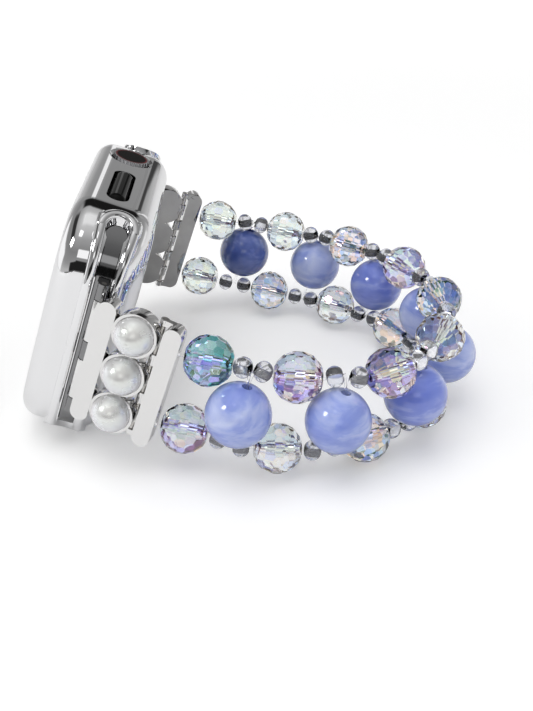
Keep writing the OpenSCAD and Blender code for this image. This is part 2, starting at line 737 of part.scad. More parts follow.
case_cover();
watch_housing();
display_glass();
back_crystal();
crown_stem();
crown();
crown_ring();
crown_lens();
side_button();
release_button(FAR);  // release_button_12
release_button(NEAR);  // release_button_6
lug_insert(NEAR);  // lug_insert_6
lug_pin(NEAR);  // lug_pin_6
pearl_setting(NEAR);  // pearl_setting_6
pearls(NEAR);  // pearls_6
end_bar(NEAR);  // end_bar_6
link_pin(NEAR);  // link_pin_6
lug_insert(FAR);  // lug_insert_12
lug_pin(FAR);  // lug_pin_12
pearl_setting(FAR);  // pearl_setting_12
pearls(FAR);  // pearls_12
end_bar(FAR);  // end_bar_12
link_pin(FAR);  // link_pin_12
for (i = [1:crystals]) {
    crystal(i - 1, TOP);
    crystal(i - 1, BOTTOM);
}
for (i = [1:crystals - 1]) {
    agate(i - 1);
    seeds(i - 1);
}
cord(TOP, 1);  // elastic_cord_a
cord(BOTTOM, -1);  // elastic_cord_b
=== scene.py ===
"""Looks of the beaded watch bracelet: finishes, linings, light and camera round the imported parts."""
import json
import math

import bmesh
import bpy
from mathutils import Matrix, Vector
from mathutils.bvhtree import BVHTree


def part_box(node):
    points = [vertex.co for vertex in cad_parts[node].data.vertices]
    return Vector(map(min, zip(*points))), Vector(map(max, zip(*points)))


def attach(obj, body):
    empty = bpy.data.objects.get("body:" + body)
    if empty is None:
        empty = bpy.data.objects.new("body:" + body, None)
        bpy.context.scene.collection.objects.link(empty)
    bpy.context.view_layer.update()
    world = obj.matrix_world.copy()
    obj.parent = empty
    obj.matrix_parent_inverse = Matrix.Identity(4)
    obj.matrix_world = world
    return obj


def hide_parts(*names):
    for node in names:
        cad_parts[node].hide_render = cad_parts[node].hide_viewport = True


MM = 0.001
IMAGE_HEIGHT = 711
WELD_DISTANCE = 0.001 * MM

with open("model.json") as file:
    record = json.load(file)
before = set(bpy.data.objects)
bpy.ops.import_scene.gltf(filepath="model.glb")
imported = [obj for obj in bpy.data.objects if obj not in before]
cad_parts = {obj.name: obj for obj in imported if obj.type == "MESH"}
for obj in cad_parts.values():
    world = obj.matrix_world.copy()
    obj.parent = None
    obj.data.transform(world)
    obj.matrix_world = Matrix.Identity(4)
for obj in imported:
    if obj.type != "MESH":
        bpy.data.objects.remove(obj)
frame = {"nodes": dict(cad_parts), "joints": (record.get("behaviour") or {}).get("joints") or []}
nodes = frame["nodes"]
joints = {joint["name"]: joint for joint in frame["joints"]}
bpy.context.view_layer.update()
scene = bpy.context.scene


def numbered(stem, group_count):
    """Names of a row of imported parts, counted from 1."""
    return [f"{stem}_{index}" for index in range(1, group_count + 1)]


COLUMN_COUNT = 9
GAP_COUNT = COLUMN_COUNT - 1
CRYSTALS = numbered("top_crystal", COLUMN_COUNT) + numbered("bottom_crystal", COLUMN_COUNT)
AGATES = numbered("agate_bead", GAP_COUNT)
SEED_SETS = numbered("seed_beads", GAP_COUNT)
ENDS = ("6", "12")


# Camera at the photograph's place, from the fit of every bead
CAMERA_PLACE = Vector((0.776, -138.613, 83.313)) * MM
CAMERA_YAW_PITCH_ROLL = (-0.828, 29.549, -1.061)
CAMERA_FOCAL_PIXELS = 903.1


def place_camera():
    """A camera whose focal length is given in pixels of the photograph's height."""
    yaw, pitch, roll = (math.radians(angle) for angle in CAMERA_YAW_PITCH_ROLL)
    level_right = Vector((math.cos(yaw), math.sin(yaw), 0))
    level_forward = Vector((-math.sin(yaw), math.cos(yaw), 0))
    forward = level_forward * math.cos(pitch) - Vector((0, 0, math.sin(pitch)))
    level_up = level_right.cross(forward)
    right = level_right * math.cos(roll) + level_up * math.sin(roll)
    up = level_up * math.cos(roll) - level_right * math.sin(roll)
    lens = bpy.data.cameras.new("photo_camera")
    lens.sensor_width = 36
    lens.lens = CAMERA_FOCAL_PIXELS * lens.sensor_width / IMAGE_HEIGHT
    lens.clip_start = 0.01
    lens.clip_end = 20
    camera = bpy.data.objects.new("photo_camera", lens)
    scene.collection.objects.link(camera)
    turn = Matrix((right, up, -forward)).transposed().to_4x4()
    camera.matrix_world = Matrix.Translation(CAMERA_PLACE) @ turn
    scene.camera = camera


place_camera()


# Shader node helpers
def add(tree, kind, **values):
    """Adds a node, sets its own properties and the values of its named inputs."""
    item = tree.nodes.new(kind)
    for key, value in values.items():
        if hasattr(item, key):
            setattr(item, key, value)
        else:
            item.inputs[key.replace("_", " ").title() if key.islower() else key].default_value = value
    return item


def ramp(tree, stops):
    """A colour ramp through the given stops, each a position and a colour."""
    item = tree.nodes.new("ShaderNodeValToRGB")
    elements = item.color_ramp.elements
    elements[0].position, elements[0].color = stops[0][0], (*stops[0][1], 1)
    elements[1].position, elements[1].color = stops[-1][0], (*stops[-1][1], 1)
    for place, colour in stops[1:-1]:
        elements.new(place).color = (*colour, 1)
    return item


def new_group(name, inputs, outputs):
    """An empty node group with its sockets, and the nodes for what goes in and out."""
    group = bpy.data.node_groups.new(name, "ShaderNodeTree")
    for label, kind, default in inputs:
        socket = group.interface.new_socket(name=label, in_out="INPUT", socket_type=kind)
        if default is not None:
            socket.default_value = default
    for label, kind in outputs:
        group.interface.new_socket(name=label, in_out="OUTPUT", socket_type=kind)
    entry = group.nodes.new("NodeGroupInput")
    leave = group.nodes.new("NodeGroupOutput")
    return group, entry, leave


def use_group(tree, group, **values):
    """Places a node group in a material, with that material's own values."""
    item = tree.nodes.new("ShaderNodeGroup")
    item.node_tree = group
    for label, value in values.items():
        item.inputs[label].default_value = value
    return item


def new_material(name, **sockets):
    """A material with one Principled shader, whose plain sockets take the given values."""
    material = bpy.data.materials.new(name)
    material.use_nodes = True
    tree = material.node_tree
    shader = tree.nodes["Principled BSDF"]
    for label, value in sockets.items():
        shader.inputs[label.replace("_", " ")].default_value = value
    return material, tree, shader


FLOAT = "NodeSocketFloat"
COLOUR = "NodeSocketColor"
VECTOR = "NodeSocketVector"


def make_surface_marks():
    """Faint smudges and fine scratches: a roughness between two limits, and a height for bump."""
    group, entry, leave = new_group(
        "surface_marks",
        [("Vector", VECTOR, None), ("Smudge Scale", FLOAT, 120.0), ("Scratch Scale", FLOAT, 900.0),
         ("Low", FLOAT, 0.03), ("High", FLOAT, 0.1)],
        [("Roughness", FLOAT), ("Height", FLOAT)],
    )
    smudge = add(group, "ShaderNodeTexNoise", detail=5.0, roughness=0.6)
    stretch = add(group, "ShaderNodeMapping")
    stretch.inputs["Scale"].default_value = (1.0, 0.12, 0.35)
    scratch = add(group, "ShaderNodeTexNoise", detail=3.0)
    cut = ramp(group, [(0.6, (0, 0, 0)), (0.72, (1, 1, 1))])
    blend = add(group, "ShaderNodeMath", operation="MULTIPLY_ADD")
    blend.inputs[1].default_value = 0.35
    limits = add(group, "ShaderNodeMapRange")
    link = group.links.new
    link(entry.outputs["Vector"], smudge.inputs["Vector"])
    link(entry.outputs["Smudge Scale"], smudge.inputs["Scale"])
    link(entry.outputs["Vector"], stretch.inputs["Vector"])
    link(stretch.outputs["Vector"], scratch.inputs["Vector"])
    link(entry.outputs["Scratch Scale"], scratch.inputs["Scale"])
    link(scratch.outputs["Fac"], cut.inputs["Fac"])
    link(cut.outputs["Color"], blend.inputs[0])
    link(smudge.outputs["Fac"], blend.inputs[2])
    link(blend.outputs["Value"], limits.inputs["Value"])
    limits.inputs["From Min"].default_value = 0.35
    limits.inputs["From Max"].default_value = 0.95
    link(entry.outputs["Low"], limits.inputs["To Min"])
    link(entry.outputs["High"], limits.inputs["To Max"])
    link(limits.outputs["Result"], leave.inputs["Roughness"])
    link(blend.outputs["Value"], leave.inputs["Height"])
    return group


def make_stone_bands():
    """Cloudy bands of a dyed stone, from a dark to a pale colour, with a few milky veins."""
    group, entry, leave = new_group(
        "stone_bands",
        [("Vector", VECTOR, None), ("Scale", FLOAT, 150.0), ("Dark", COLOUR, None),
         ("Middle", COLOUR, None), ("Pale", COLOUR, None)],
        [("Color", COLOUR), ("Cloud", FLOAT)],
    )
    squeeze = add(group, "ShaderNodeVectorMath", operation="MULTIPLY")
    squeeze.inputs[1].default_value = (1.0, 0.8, 2.4)
    warp = add(group, "ShaderNodeTexNoise", detail=3.0)
    push = add(group, "ShaderNodeVectorMath", operation="MULTIPLY_ADD")
    push.inputs[1].default_value = (0.006, 0.006, 0.006)
    bands = add(group, "ShaderNodeTexNoise", detail=6.0, roughness=0.55, distortion=0.6)
    low = add(group, "ShaderNodeMapRange")
    low.inputs["From Min"].default_value = 0.34
    low.inputs["From Max"].default_value = 0.56
    high = add(group, "ShaderNodeMapRange")
    high.inputs["From Min"].default_value = 0.5
    high.inputs["From Max"].default_value = 0.74
    first = add(group, "ShaderNodeMix", data_type="RGBA")
    second = add(group, "ShaderNodeMix", data_type="RGBA")
    link = group.links.new
    link(entry.outputs["Vector"], warp.inputs["Vector"])
    link(entry.outputs["Scale"], warp.inputs["Scale"])
    link(warp.outputs["Color"], push.inputs[0])
    link(entry.outputs["Vector"], squeeze.inputs[0])
    link(squeeze.outputs["Vector"], push.inputs[2])
    link(push.outputs["Vector"], bands.inputs["Vector"])
    link(entry.outputs["Scale"], bands.inputs["Scale"])
    link(bands.outputs["Fac"], low.inputs["Value"])
    link(bands.outputs["Fac"], high.inputs["Value"])
    link(low.outputs["Result"], first.inputs["Factor"])
    link(entry.outputs["Dark"], first.inputs["A"])
    link(entry.outputs["Middle"], first.inputs["B"])
    link(high.outputs["Result"], second.inputs["Factor"])
    link(first.outputs["Result"], second.inputs["A"])
    link(entry.outputs["Pale"], second.inputs["B"])
    link(second.outputs["Result"], leave.inputs["Color"])
    link(bands.outputs["Fac"], leave.inputs["Cloud"])
    return group


def make_facet_tint():
    """Film colours of cut glass, even over each facet: most facets clear, some cool, some warm."""
    group, entry, leave = new_group(
        "facet_tint",
        [("Normal", VECTOR, None), ("Vector", VECTOR, None), ("Spread", FLOAT, 9.0),
         ("Clear", COLOUR, (0.97, 0.98, 1.0, 1)), ("Cool", COLOUR, None), ("Warm", COLOUR, None),
         ("Amount", FLOAT, 0.0)],
        [("Color", COLOUR)],
    )
    mix = add(group, "ShaderNodeVectorMath", operation="SCALE")
    place = add(group, "ShaderNodeVectorMath", operation="MULTIPLY_ADD")
    place.inputs[1].default_value = (40.0, 40.0, 40.0)
    cell = add(group, "ShaderNodeTexNoise", detail=0.0)
    cell.inputs["Scale"].default_value = 1.0
    lean = add(group, "ShaderNodeSeparateXYZ")
    lower = add(group, "ShaderNodeMath", operation="MULTIPLY_ADD")
    lower.inputs[1].default_value = -0.08
    link = group.links.new
    link(entry.outputs["Normal"], mix.inputs[0])
    link(entry.outputs["Normal"], lean.inputs["Vector"])
    link(lean.outputs["Z"], lower.inputs[0])
    link(entry.outputs["Amount"], lower.inputs[2])
    link(entry.outputs["Spread"], mix.inputs["Scale"])
    link(entry.outputs["Vector"], place.inputs[0])
    link(mix.outputs["Vector"], place.inputs[2])
    link(place.outputs["Vector"], cell.inputs["Vector"])
    last = entry.outputs["Clear"]
    for colour, start, full, way in (("Cool", 0.45, 0.37, "SUBTRACT"), ("Warm", 0.56, 0.64, "ADD")):
        shifted = add(group, "ShaderNodeMath", operation=way)
        share = add(group, "ShaderNodeMapRange")
        share.inputs["From Min"].default_value = start
        share.inputs["From Max"].default_value = full
        blend = add(group, "ShaderNodeMix", data_type="RGBA")
        link(cell.outputs["Fac"], shifted.inputs[0])
        link(lower.outputs["Value"], shifted.inputs[1])
        link(shifted.outputs["Value"], share.inputs["Value"])
        link(share.outputs["Result"], blend.inputs["Factor"])
        link(last, blend.inputs["A"])
        link(entry.outputs[colour], blend.inputs["B"])
        last = blend.outputs["Result"]
    link(last, leave.inputs["Color"])
    return group


SURFACE_MARKS = make_surface_marks()
STONE_BANDS = make_stone_bands()
FACET_TINT = make_facet_tint()


SAME_FACING = 0.999
SAME_WALL = 0.9995
SQUARE_TO = 0.02


def shown_islands(name):
    """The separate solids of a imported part: for each, its corners and its triangles."""
    form = bmesh.new()
    form.from_mesh(nodes[name].data)
    bmesh.ops.remove_doubles(form, verts=form.verts, dist=WELD_DISTANCE)
    form.verts.index_update()
    reached = set()
    found = []
    for first in form.faces:
        if first in reached:
            continue
        reached.add(first)
        queue = [first]
        faces = []
        while queue:
            face = queue.pop()
            faces.append(face)
            for edge in face.edges:
                for other in edge.link_faces:
                    if other not in reached:
                        reached.add(other)
                        queue.append(other)
        corners = sorted({vert for face in faces for vert in face.verts}, key=lambda vert: vert.index)
        points = [vert.co.copy() for vert in corners]
        sides = [(face.normal.copy(), face.calc_area()) for face in faces]
        found.append((points, sides))
    form.free()
    return found


def square_hole_axes(sides):
    """Directions of a seed bead's square hole: along it, and across its first pair of walls."""
    totals = []
    for normal, area in sides:
        for entry in totals:
            if abs(entry[0].dot(normal)) > SAME_WALL:
                entry[1] += area
                break
        else:
            totals.append([normal, area])
    totals.sort(key=lambda entry: -entry[1])
    across = totals[0][0]
    second = next(entry[0] for entry in totals[1:] if abs(entry[0].dot(across)) < SQUARE_TO)
    along = across.cross(second).normalized()
    return along, across


RELIEF_DEPTH = 0.02 * MM


def marked_metal(name, colour, low, high, bump, smudge_scale=120.0, scratch_scale=900.0):
    """Polished or satin metal with smudges in its gloss and a faint unevenness."""
    material, tree, shader = new_material(name, Metallic=1.0, Base_Color=(*colour, 1))
    coords = add(tree, "ShaderNodeTexCoord")
    marks = use_group(tree, SURFACE_MARKS, **{
        "Smudge Scale": smudge_scale, "Scratch Scale": scratch_scale, "Low": low, "High": high})
    relief = add(tree, "ShaderNodeBump")
    relief.inputs["Strength"].default_value = bump
    relief.inputs["Distance"].default_value = RELIEF_DEPTH
    link = tree.links.new
    link(coords.outputs["Object"], marks.inputs["Vector"])
    link(marks.outputs["Roughness"], shader.inputs["Roughness"])
    link(marks.outputs["Height"], relief.inputs["Height"])
    link(relief.outputs["Normal"], shader.inputs["Normal"])
    return material


SWELL_CURVE = 12.0
SWELL_SHIFT = 1.0 * MM


def swell_across(material, out, crown_box):
    """Gives the flat sides of the cover the slight crown of polished metal, across its thickness."""
    tree = material.node_tree
    middle = sum((Vector(corner) for corner in crown_box), Vector()) / 2
    coords = add(tree, "ShaderNodeTexCoord")
    across = add(tree, "ShaderNodeVectorMath", operation="DOT_PRODUCT")
    across.inputs[1].default_value = out
    centred = add(tree, "ShaderNodeMath", operation="SUBTRACT")
    centred.inputs[1].default_value = middle.dot(Vector(out)) - SWELL_SHIFT
    square = add(tree, "ShaderNodeMath", operation="POWER")
    square.inputs[1].default_value = 2.0
    height = add(tree, "ShaderNodeMath", operation="MULTIPLY")
    height.inputs[1].default_value = -SWELL_CURVE
    swell = add(tree, "ShaderNodeBump")
    swell.inputs["Distance"].default_value = 1.0
    link = tree.links.new
    link(coords.outputs["Object"], across.inputs[0])
    link(across.outputs["Value"], centred.inputs[0])
    link(centred.outputs["Value"], square.inputs[0])
    link(square.outputs["Value"], height.inputs[0])
    link(height.outputs["Value"], swell.inputs["Height"])
    relief = next(item for item in tree.nodes if item.type == "BUMP" and item is not swell)
    link(swell.outputs["Normal"], relief.inputs["Normal"])


def inner_side(name, sign):
    """Direction of a part's largest flat side that faces forward (+1) or back (-1) in the frame."""
    totals = []
    for _, sides in shown_islands(name):
        for normal, area in sides:
            if normal.y * sign < 0.3:
                continue
            for entry in totals:
                if entry[0].dot(normal) > SAME_FACING:
                    entry[1] += area
                    break
            else:
                totals.append([normal, area])
    return max(totals, key=lambda entry: entry[1])[0]


LINK_FRONT = (0.86, 0.855, 0.85)
# Painted shade: the darker colour of the links' side towards the wrist, with cloudy patches down to
# PATCH_SHADE of it.
LINK_PAINTED_SHADE = (0.46, 0.455, 0.45)
LINK_FINISH = (0.07, 0.16, 0.25, 200.0, 1400.0)
PATCH_SHADE = 0.82


def shade_painted_back_metal(name, inward):
    """Plated metal of the links with painted shade: darker, in cloudy patches, on the side towards the
    wrist.
    """
    material = marked_metal(name, LINK_FRONT, *LINK_FINISH)
    tree = material.node_tree
    shader = tree.nodes["Principled BSDF"]
    coords = add(tree, "ShaderNodeTexCoord")
    facing = add(tree, "ShaderNodeVectorMath", operation="DOT_PRODUCT")
    facing.inputs[1].default_value = inward
    share = add(tree, "ShaderNodeMapRange")
    share.inputs["From Min"].default_value = 0.9
    share.inputs["From Max"].default_value = 0.98
    cloud = add(tree, "ShaderNodeTexNoise", detail=4.0)
    cloud.inputs["Scale"].default_value = 260.0
    patch = ramp(tree, [(0.3, tuple(value * PATCH_SHADE for value in LINK_PAINTED_SHADE)), (0.7, LINK_PAINTED_SHADE)])
    blend = add(tree, "ShaderNodeMix", data_type="RGBA")
    blend.inputs["A"].default_value = (*LINK_FRONT, 1)
    link = tree.links.new
    link(coords.outputs["Normal"], facing.inputs[0])
    link(facing.outputs["Value"], share.inputs["Value"])
    link(coords.outputs["Object"], cloud.inputs["Vector"])
    link(cloud.outputs["Fac"], patch.inputs["Fac"])
    link(share.outputs["Result"], blend.inputs["Factor"])
    link(patch.outputs["Color"], blend.inputs["B"])
    link(blend.outputs["Result"], shader.inputs["Base Color"])
    return material


def stone_material(name, dark, middle, pale):
    """Polished banded stone, glossier in its darker bands."""
    material, tree, shader = new_material(name, Coat_Weight=0.8, Coat_Roughness=0.03, IOR=1.54)
    shader.inputs["Subsurface Weight"].default_value = 0.15
    shader.inputs["Subsurface Radius"].default_value = (0.0006, 0.0008, 0.0014)
    coords = add(tree, "ShaderNodeTexCoord")
    bands = use_group(tree, STONE_BANDS, Dark=(*dark, 1), Middle=(*middle, 1), Pale=(*pale, 1),
                      Scale=110.0)
    gloss = add(tree, "ShaderNodeMapRange")
    gloss.inputs["To Min"].default_value = 0.08
    gloss.inputs["To Max"].default_value = 0.22
    link = tree.links.new
    link(coords.outputs["Object"], bands.inputs["Vector"])
    link(bands.outputs["Color"], shader.inputs["Base Color"])
    link(bands.outputs["Cloud"], gloss.inputs["Value"])
    link(gloss.outputs["Result"], shader.inputs["Roughness"])
    return material


def crystal_material(name, cool, warm, amount, film):
    """Cut glass with an iridescent film: tinted facets inside, coloured glints outside."""
    material, tree, shader = new_material(
        name, Transmission_Weight=1.0, IOR=1.6, Roughness=0.01,
        Coat_Weight=0.5, Coat_Roughness=0.01, Coat_IOR=1.7)
    shader.inputs["Thin Film Thickness"].default_value = film
    shader.inputs["Thin Film IOR"].default_value = 2.0
    coords = add(tree, "ShaderNodeTexCoord")
    tint = use_group(tree, FACET_TINT, Cool=(*cool, 1), Warm=(*warm, 1), Amount=amount)
    link = tree.links.new
    link(coords.outputs["Normal"], tint.inputs["Normal"])
    link(coords.outputs["Object"], tint.inputs["Vector"])
    link(tint.outputs["Color"], shader.inputs["Base Color"])
    return material


def seed_material():
    """Clear glass of the seed beads."""
    material, tree, shader = new_material(
        "clear_seed_glass", Transmission_Weight=0.9, IOR=1.5, Base_Color=(0.96, 0.97, 1.0, 1))
    coords = add(tree, "ShaderNodeTexCoord")
    marks = use_group(tree, SURFACE_MARKS, Low=0.02, High=0.08)
    tree.links.new(coords.outputs["Object"], marks.inputs["Vector"])
    tree.links.new(marks.outputs["Roughness"], shader.inputs["Roughness"])
    return material


def pearl_material():
    """White pearl lacquer with a thin film's sheen."""
    material, tree, shader = new_material(
        "pearl_lacquer", Coat_Weight=0.8, Coat_Roughness=0.05, IOR=1.7, Metallic=0.4)
    shader.inputs["Thin Film Thickness"].default_value = 380.0
    shader.inputs["Thin Film IOR"].default_value = 1.45
    coords = add(tree, "ShaderNodeTexCoord")
    bands = use_group(tree, STONE_BANDS, Dark=(0.88, 0.87, 0.86, 1), Middle=(0.9, 0.89, 0.885, 1),
                      Pale=(0.91, 0.905, 0.9, 1), Scale=200.0)
    gloss = add(tree, "ShaderNodeMapRange")
    gloss.inputs["To Min"].default_value = 0.2
    gloss.inputs["To Max"].default_value = 0.34
    link = tree.links.new
    link(coords.outputs["Object"], bands.inputs["Vector"])
    link(bands.outputs["Color"], shader.inputs["Base Color"])
    link(bands.outputs["Cloud"], gloss.inputs["Value"])
    link(gloss.outputs["Result"], shader.inputs["Roughness"])
    return material


def glossy_material(name, colour, low, high, coat=0.3, ior=1.5):
    """Dark glass, enamel or smooth plastic, with faint smudges in the gloss."""
    material, tree, shader = new_material(
        name, Base_Color=(*colour, 1), Coat_Weight=coat, Coat_Roughness=0.03, IOR=ior)
    coords = add(tree, "ShaderNodeTexCoord")
    marks = use_group(tree, SURFACE_MARKS, Low=low, High=high)
    tree.links.new(coords.outputs["Object"], marks.inputs["Vector"])
    tree.links.new(marks.outputs["Roughness"], shader.inputs["Roughness"])
    return material


def elastic_material():
    """Clear elastic of the cords."""
    material, tree, shader = new_material(
        "clear_elastic", Transmission_Weight=1.0, IOR=1.2, Base_Color=(0.98, 0.98, 0.99, 1))
    coords = add(tree, "ShaderNodeTexCoord")
    marks = use_group(tree, SURFACE_MARKS, Low=0.05, High=0.2)
    tree.links.new(coords.outputs["Object"], marks.inputs["Vector"])
    tree.links.new(marks.outputs["Roughness"], shader.inputs["Roughness"])
    return material


mirror_plating = marked_metal("mirror_plating", (0.9, 0.9, 0.91), 0.02, 0.07, 0.12, 60.0)
swell_across(mirror_plating, joints["release_press_6"]["axis"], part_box("crown_lens"))
# Painted shade: the lug inserts are dark grey, standing in for the shade inside the strap slots.
shade_painted_insert = marked_metal("shade_painted_insert", (0.27, 0.27, 0.275), 0.04, 0.12, 0.25, 200.0, 1400.0)
pin_steel = marked_metal("drawn_steel", (0.62, 0.6, 0.57), 0.2, 0.35, 0.4, 300.0, 2500.0)
watch_metal = marked_metal("anodised_housing", (0.2, 0.2, 0.21), 0.3, 0.45, 0.5, 900.0, 3000.0)
button_metal = marked_metal("satin_button", (0.3, 0.3, 0.31), 0.22, 0.35, 0.3, 500.0, 2400.0)
crown_metal = marked_metal("crown_steel", (0.5, 0.5, 0.51), 0.15, 0.3, 0.3, 400.0, 2400.0)
silver_lining = marked_metal("silver_lining", (0.92, 0.92, 0.93), 0.08, 0.2, 0.3, 800.0, 2400.0)
# Painted shade: near-black walls inside the seed beads' holes.
painted_shade_lining = marked_metal("painted_shade_lining", (0.03, 0.03, 0.035), 0.08, 0.2, 0.3, 800.0, 2400.0)
stone = stone_material("periwinkle_stone", (0.21, 0.28, 0.71), (0.31, 0.39, 0.79), (0.56, 0.63, 0.91))
blue_stone = stone_material("blue_stone", (0.15, 0.21, 0.66), (0.23, 0.3, 0.76), (0.5, 0.57, 0.88))
deep_stone = stone_material("deep_stone", (0.06, 0.1, 0.34), (0.1, 0.15, 0.44), (0.24, 0.3, 0.62))
STONE_SHADES = {"agate_bead_3": blue_stone, "agate_bead_6": blue_stone, "agate_bead_8": deep_stone}
VIOLET = (0.4, 0.36, 0.97)
BLUE = (0.42, 0.58, 1.0)
TEAL = (0.12, 0.62, 0.55)
PEACH = (1.0, 0.72, 0.5)
LEMON = (0.97, 0.97, 0.88)
clear_crystal = crystal_material("clear_crystal", (0.62, 0.74, 1.0), LEMON, -0.03, 260.0)
cool_crystal = crystal_material("cool_crystal", VIOLET, PEACH, 0.0, 420.0)
warm_crystal = crystal_material("warm_crystal", BLUE, PEACH, 0.0, 480.0)
aurora_crystal = crystal_material("aurora_crystal", VIOLET, TEAL, 0.07, 360.0)
bore_wall = marked_metal("crystal_bore_wall", (0.8, 0.8, 0.82), 0.03, 0.1, 0.2, 900.0, 2400.0)
CRYSTAL_FILMS = {
    "top_crystal_1": aurora_crystal, "bottom_crystal_1": cool_crystal,
    "top_crystal_2": cool_crystal, "bottom_crystal_3": warm_crystal,
    "top_crystal_3": cool_crystal, "top_crystal_5": warm_crystal,
    "top_crystal_6": cool_crystal, "top_crystal_7": warm_crystal,
    "bottom_crystal_6": warm_crystal, "bottom_crystal_8": warm_crystal,
}
seed_glass = seed_material()
pearl = pearl_material()
display_glass = glossy_material("display_glass", (0.004, 0.004, 0.005), 0.02, 0.06)
back_glass = glossy_material("back_glass", (0.012, 0.012, 0.014), 0.03, 0.08)
crown_enamel = glossy_material("crown_enamel", (0.12, 0.006, 0.008), 0.1, 0.2, 0.0, 1.25)
crown_black = glossy_material("crown_black", (0.004, 0.003, 0.003), 0.1, 0.2, 0.0, 1.1)
# Painted reflection: the side button is near black with weak reflections, standing in for the dark band
# that a chrome button shows.
painted_reflection_button = glossy_material("painted_reflection_button", (0.004, 0.004, 0.004), 0.04, 0.1, 0.0, 1.2)
elastic = elastic_material()


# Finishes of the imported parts
LINK_BEVEL = 0.12 * MM
SHARP_ANGLE = math.radians(32)


def finish_node(name, material, bevel=0.0):
    """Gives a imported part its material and, where asked, softly rounded edges."""
    item = nodes[name]
    for slot in item.material_slots:
        slot.material = material
    if bevel:
        weld = item.modifiers.new("join", "WELD")
        weld.merge_threshold = 2 * WELD_DISTANCE
        edge = item.modifiers.new("edge", "BEVEL")
        edge.width = bevel
        edge.segments = 3
        edge.limit_method = "ANGLE"
        edge.angle_limit = SHARP_ANGLE
        edge.use_clamp_overlap = True
        edge.harden_normals = False


WATCH_FINISHES = {
    "case_cover": mirror_plating, "watch_housing": watch_metal,
    "display_glass": display_glass, "back_crystal": back_glass,
    "crown_stem": pin_steel, "crown": crown_metal, "crown_ring": crown_enamel,
    "crown_lens": crown_black, "side_button": painted_reflection_button,
}
CORDS = ("elastic_cord_a", "elastic_cord_b")
for name, finish in WATCH_FINISHES.items():
    finish_node(name, finish)
for end in ENDS:
    finish_node(f"release_button_{end}", button_metal)
    # Painted shade on the lug inserts in the slots.
    finish_node(f"lug_insert_{end}", shade_painted_insert)
    finish_node(f"lug_pin_{end}", pin_steel)
    inward = -1 if end == "12" else 1
    # Each link's side towards the wrist gets painted shade.
    for part in ("pearl_setting", "end_bar"):
        plating = shade_painted_back_metal(f"{part}_plating_{end}", inner_side(f"{part}_{end}", inward))
        finish_node(f"{part}_{end}", plating, LINK_BEVEL)
    finish_node(f"pearls_{end}", pearl)
    finish_node(f"link_pin_{end}", pin_steel)
for name in CRYSTALS:
    finish_node(name, CRYSTAL_FILMS.get(name, clear_crystal))
for name in AGATES:
    finish_node(name, STONE_SHADES.get(name, stone))
for name in SEED_SETS:
    finish_node(name, seed_glass)
for name in CORDS:
    finish_node(name, elastic)


# Linings of the seed beads
SEED_HOLE_SIDE = 1.25 * MM
LINING_ROOM = 0.02 * MM
LINING_LENGTH = 2.3 * MM
LINING_WALL = 0.05 * MM


def line_seed_beads(name):
    """Linings of a group of seed beads: thin square tubes, silvery, with painted shade on alternate
    walls.
    """
    form = bmesh.new()
    half_diagonal = (SEED_HOLE_SIDE / 2 - LINING_ROOM) * math.sqrt(2)
    for points, sides in shown_islands(name):
        along, across = square_hole_axes(sides)
        middle = sum(points, Vector()) / len(points)
        low = min(point.dot(along) for point in points)
        high = max(point.dot(along) for point in points)
        middle += along * ((low + high) / 2 - middle.dot(along))
        turn = Matrix((across, along.cross(across), along)).transposed().to_4x4()
        place = Matrix.Translation(middle) @ turn @ Matrix.Rotation(math.radians(45), 4, "Z")
        bmesh.ops.create_cone(
            form, cap_ends=False, segments=4, radius1=half_diagonal, radius2=half_diagonal,
            depth=LINING_LENGTH, matrix=place)
        for face in form.faces[-4:]:
            # Painted shade: one pair of walls takes the near-black lining.
            face.material_index = 1 if abs(face.normal.dot(across)) > 0.7 else 0
    bmesh.ops.recalc_face_normals(form, faces=form.faces)
    mesh = bpy.data.meshes.new(f"lining_{name}")
    form.to_mesh(mesh)
    form.free()
    mesh.materials.append(silver_lining)
    mesh.materials.append(painted_shade_lining)
    lining = bpy.data.objects.new(f"lining_{name}", mesh)
    scene.collection.objects.link(lining)
    wall = lining.modifiers.new("wall", "SOLIDIFY")
    wall.thickness = LINING_WALL
    wall.offset = -1
    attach(lining, "strap")


for name in SEED_SETS:
    line_seed_beads(name)


# Cut crystals
CRYSTAL_RADIUS = 3.8 * MM
CRYSTAL_HALF_LENGTH = 3.5 * MM
CRYSTAL_BORE_RADIUS = 0.6 * MM
BORE_SIDES = 16
FACET_DEPTH = 0.982
FACET_ROWS = ((0, 16, 0.0), (22, 16, 0.5), (44, 12, 0.0), (63, 8, 0.5))
CUT_TOLERANCE = 0.0005 * MM
CORD_TURN = 0.7


def cut_flat(form, normal, reach):
    """Cuts away everything beyond a plane and closes the cut with one flat facet."""
    parts = bmesh.ops.bisect_plane(
        form, geom=form.verts[:] + form.edges[:] + form.faces[:], dist=CUT_TOLERANCE,
        plane_co=normal * reach, plane_no=normal, clear_outer=True)
    rim = [part for part in parts["geom_cut"] if isinstance(part, bmesh.types.BMEdge)]
    if len(rim) > 2:
        bmesh.ops.contextual_create(form, geom=rim)


